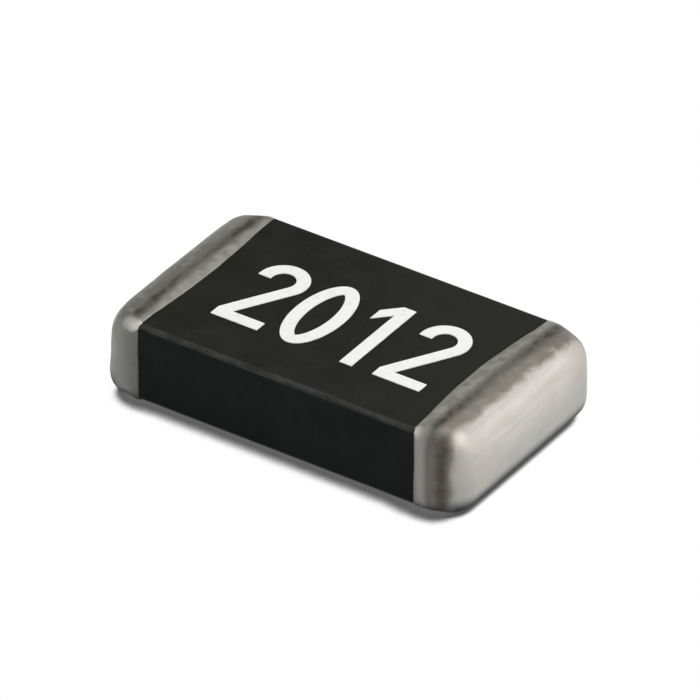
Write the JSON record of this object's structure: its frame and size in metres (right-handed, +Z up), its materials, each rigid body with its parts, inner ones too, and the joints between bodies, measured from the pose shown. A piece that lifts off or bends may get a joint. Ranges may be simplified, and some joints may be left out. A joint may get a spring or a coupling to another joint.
{
  "type": "smd ceramic capacitor",
  "caption": "Black rectangular multilayer ceramic chip capacitor with a satin tin cap wrapped around each end.",
  "frame": {"origin": "middle of the footprint, on the plane of the two caps' solder faces", "axes": "+X along the length towards the right cap, +Y across the width towards the back, +Z up from the board"},
  "size_m": [0.002, 0.0012, 0.0005],
  "materials": {
    "black_ceramic": "satin, fine grained, sintered and tumbled",
    "electrode_nickel": "thin sintered nickel film",
    "fired_copper": "fired copper paste",
    "plated_nickel": "dull electroplated nickel",
    "matte_tin": "satin matte-tin plating, faintly mottled"
  },
  "bodies": {
    "root": {"ceramic_body": "black_ceramic", "left_electrode_1": "electrode_nickel", "left_electrode_2": "electrode_nickel", "left_electrode_3": "electrode_nickel", "left_electrode_4": "electrode_nickel", "left_electrode_5": "electrode_nickel", "left_electrode_6": "electrode_nickel", "left_electrode_7": "electrode_nickel", "right_electrode_1": "electrode_nickel", "right_electrode_2": "electrode_nickel", "right_electrode_3": "electrode_nickel", "right_electrode_4": "electrode_nickel", "right_electrode_5": "electrode_nickel", "right_electrode_6": "electrode_nickel", "right_electrode_7": "electrode_nickel", "left_copper_base": "fired_copper", "left_nickel_barrier": "plated_nickel", "left_tin_cap": "matte_tin", "right_copper_base": "fired_copper", "right_nickel_barrier": "plated_nickel", "right_tin_cap": "matte_tin"}
  },
  "joints": []
}
